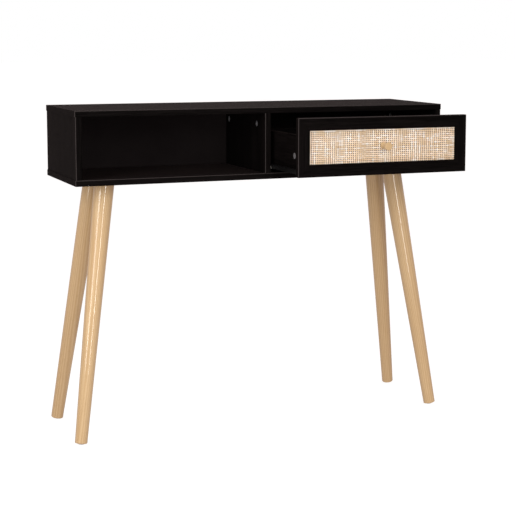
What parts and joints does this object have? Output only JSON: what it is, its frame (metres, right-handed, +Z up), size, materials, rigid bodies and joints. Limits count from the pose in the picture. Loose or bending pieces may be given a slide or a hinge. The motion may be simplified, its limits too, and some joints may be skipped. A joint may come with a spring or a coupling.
{
  "type": "console table",
  "caption": "Console table: black cabinet with an open niche and a cane-fronted drawer on roller runners, standing on splayed tapered wooden legs.",
  "frame": {"origin": "on the floor, under the middle of the cabinet's footprint; the drawer stands open by 169 mm at rest", "axes": "+X along the table to the right as seen from the front, +Y from the front to the back, +Z up"},
  "size_m": [1.0124, 0.495, 0.83],
  "materials": {
    "black_board": "matt black laminate with a fine wood grain",
    "black_thin_board": "matt black thin board",
    "natural_wood": "satin clear lacquer",
    "beech_dowel": "raw",
    "cane": "raw woven strands",
    "black_steel": "satin black coating",
    "zinc_casting": "dull die casting",
    "plated_steel": "bright zinc plating",
    "white_nylon": "matt"
  },
  "bodies": {
    "cabinet": {"top_panel": "black_board", "bottom_panel": "black_board", "left_side_panel": "black_board", "right_side_panel": "black_board", "centre_divider": "black_board", "back_panel": "black_thin_board", "cabinet_cam_discs": "zinc_casting", "cabinet_cam_bolts": "plated_steel", "cabinet_dowels": "beech_dowel", "cabinet_long_screws": "plated_steel", "left_cabinet_rail": "black_steel", "right_cabinet_rail": "black_steel", "cabinet_rail_screws": "plated_steel", "front_roller_pins": "plated_steel", "front_left_leg_plate": "black_steel", "front_right_leg_plate": "black_steel", "rear_left_leg_plate": "black_steel", "rear_right_leg_plate": "black_steel", "leg_plate_nuts": "plated_steel", "leg_plate_screws": "plated_steel", "front_left_leg": "natural_wood", "front_right_leg": "natural_wood", "rear_left_leg": "natural_wood", "rear_right_leg": "natural_wood", "hanger_bolts": "plated_steel", "leg_glides": "white_nylon"},
    "drawer": {"drawer_front_top_rail": "black_board", "drawer_front_bottom_rail": "black_board", "drawer_front_left_stile": "black_board", "drawer_front_right_stile": "black_board", "cane_panel": "cane", "drawer_front_backing": "black_thin_board", "drawer_left_side": "black_board", "drawer_right_side": "black_board", "drawer_back": "black_board", "drawer_bottom": "black_thin_board", "drawer_cam_discs": "zinc_casting", "drawer_cam_bolts": "plated_steel", "drawer_dowels": "beech_dowel", "drawer_box_screws": "plated_steel", "knob": "natural_wood", "knob_screw": "plated_steel", "left_drawer_rail": "black_steel", "right_drawer_rail": "black_steel", "drawer_rail_screws": "plated_steel", "rear_roller_pins": "plated_steel"},
    "left_front_roller": {"left_front_roller": "white_nylon"},
    "right_front_roller": {"right_front_roller": "white_nylon"},
    "left_rear_roller": {"left_rear_roller": "white_nylon"},
    "right_rear_roller": {"right_rear_roller": "white_nylon"}
  },
  "joints": [
    {"name": "drawer_slide", "type": "slide", "parent": "cabinet", "child": "drawer", "axis": [0, -1, 0], "range_m": [-0.169, 0.021]},
    {"name": "left_front_roller_spin", "type": "hinge", "parent": "cabinet", "child": "left_front_roller", "pos_m": [0.01425, -0.12, 0.67485], "axis": [1, 0, 0], "continuous": true},
    {"name": "left_rear_roller_spin", "type": "hinge", "parent": "drawer", "child": "left_rear_roller", "pos_m": [0.01425, -0.0655, 0.67415], "axis": [1, 0, 0], "continuous": true},
    {"name": "right_front_roller_spin", "type": "hinge", "parent": "cabinet", "child": "right_front_roller", "pos_m": [0.47675, -0.12, 0.67485], "axis": [1, 0, 0], "continuous": true},
    {"name": "right_rear_roller_spin", "type": "hinge", "parent": "drawer", "child": "right_rear_roller", "pos_m": [0.47675, -0.0655, 0.67415], "axis": [1, 0, 0], "continuous": true}
  ],
  "couplings": [
    {"joint": "left_front_roller_spin", "follows": "drawer_slide", "rad_per_m": 125},
    {"joint": "left_rear_roller_spin", "follows": "drawer_slide", "rad_per_m": 125},
    {"joint": "right_front_roller_spin", "follows": "drawer_slide", "rad_per_m": 125},
    {"joint": "right_rear_roller_spin", "follows": "drawer_slide", "rad_per_m": 125}
  ]
}
